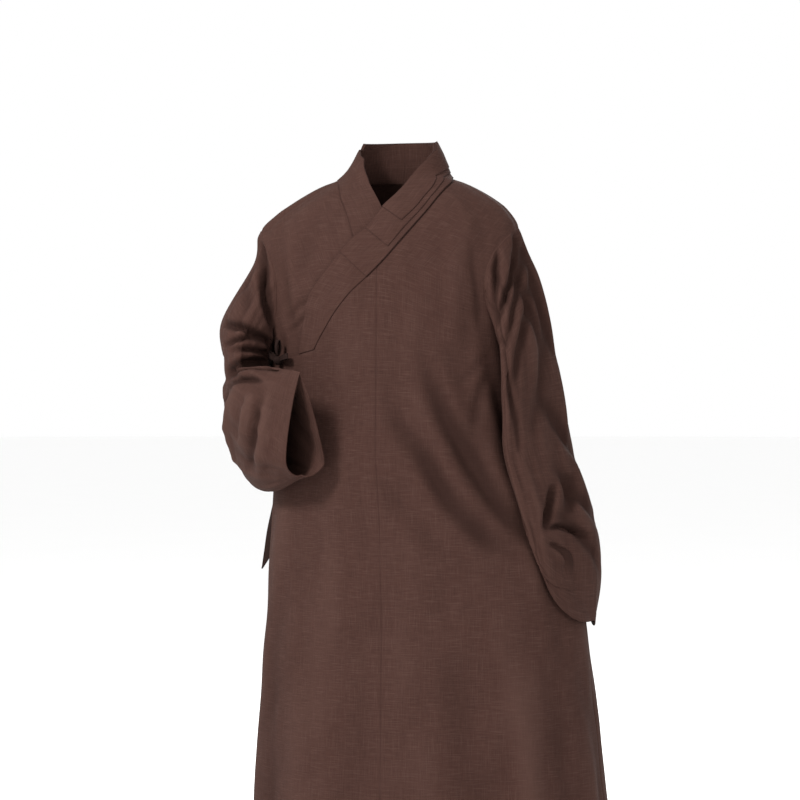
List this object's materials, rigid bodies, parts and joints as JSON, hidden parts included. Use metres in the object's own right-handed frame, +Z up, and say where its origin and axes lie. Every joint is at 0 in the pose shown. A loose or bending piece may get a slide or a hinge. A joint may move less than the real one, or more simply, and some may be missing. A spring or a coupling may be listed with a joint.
{
  "type": "buddhist monk robe",
  "caption": "Long crossed-over robe of brown woven cloth, filled out as worn, with a layered collar, wide sleeves, one arm bent, and side ties.",
  "frame": {"origin": "middle of the neck, level with the base of the collar, where the robe is held up", "axes": "+Z up, front towards -Y, the robe's left side towards +X"},
  "size_m": [0.7616, 0.507, 1.4577],
  "materials": {
    "robe_cloth": "matt slubby plain weave, reddish brown",
    "collar_cloth": "the same cloth, doubled and topstitched",
    "tie_cloth": "dark brown tape of the same weave"
  },
  "bodies": {
    "root": {"front_left": "robe_cloth", "front_overlap": "robe_cloth", "front_right": "robe_cloth", "back_left": "robe_cloth", "back_right": "robe_cloth", "sleeve_left": "robe_cloth", "sleeve_right": "robe_cloth", "collar_band_left": "collar_cloth", "collar_band_right": "collar_cloth", "collar_layer_1": "collar_cloth", "collar_layer_2": "collar_cloth", "collar_layer_3": "collar_cloth", "tie_knot": "tie_cloth", "tie_loop_1": "tie_cloth", "tie_loop_2": "tie_cloth", "tie_loop_3": "tie_cloth", "side_tie": "tie_cloth", "knot_button": "tie_cloth"}
  },
  "joints": []
}
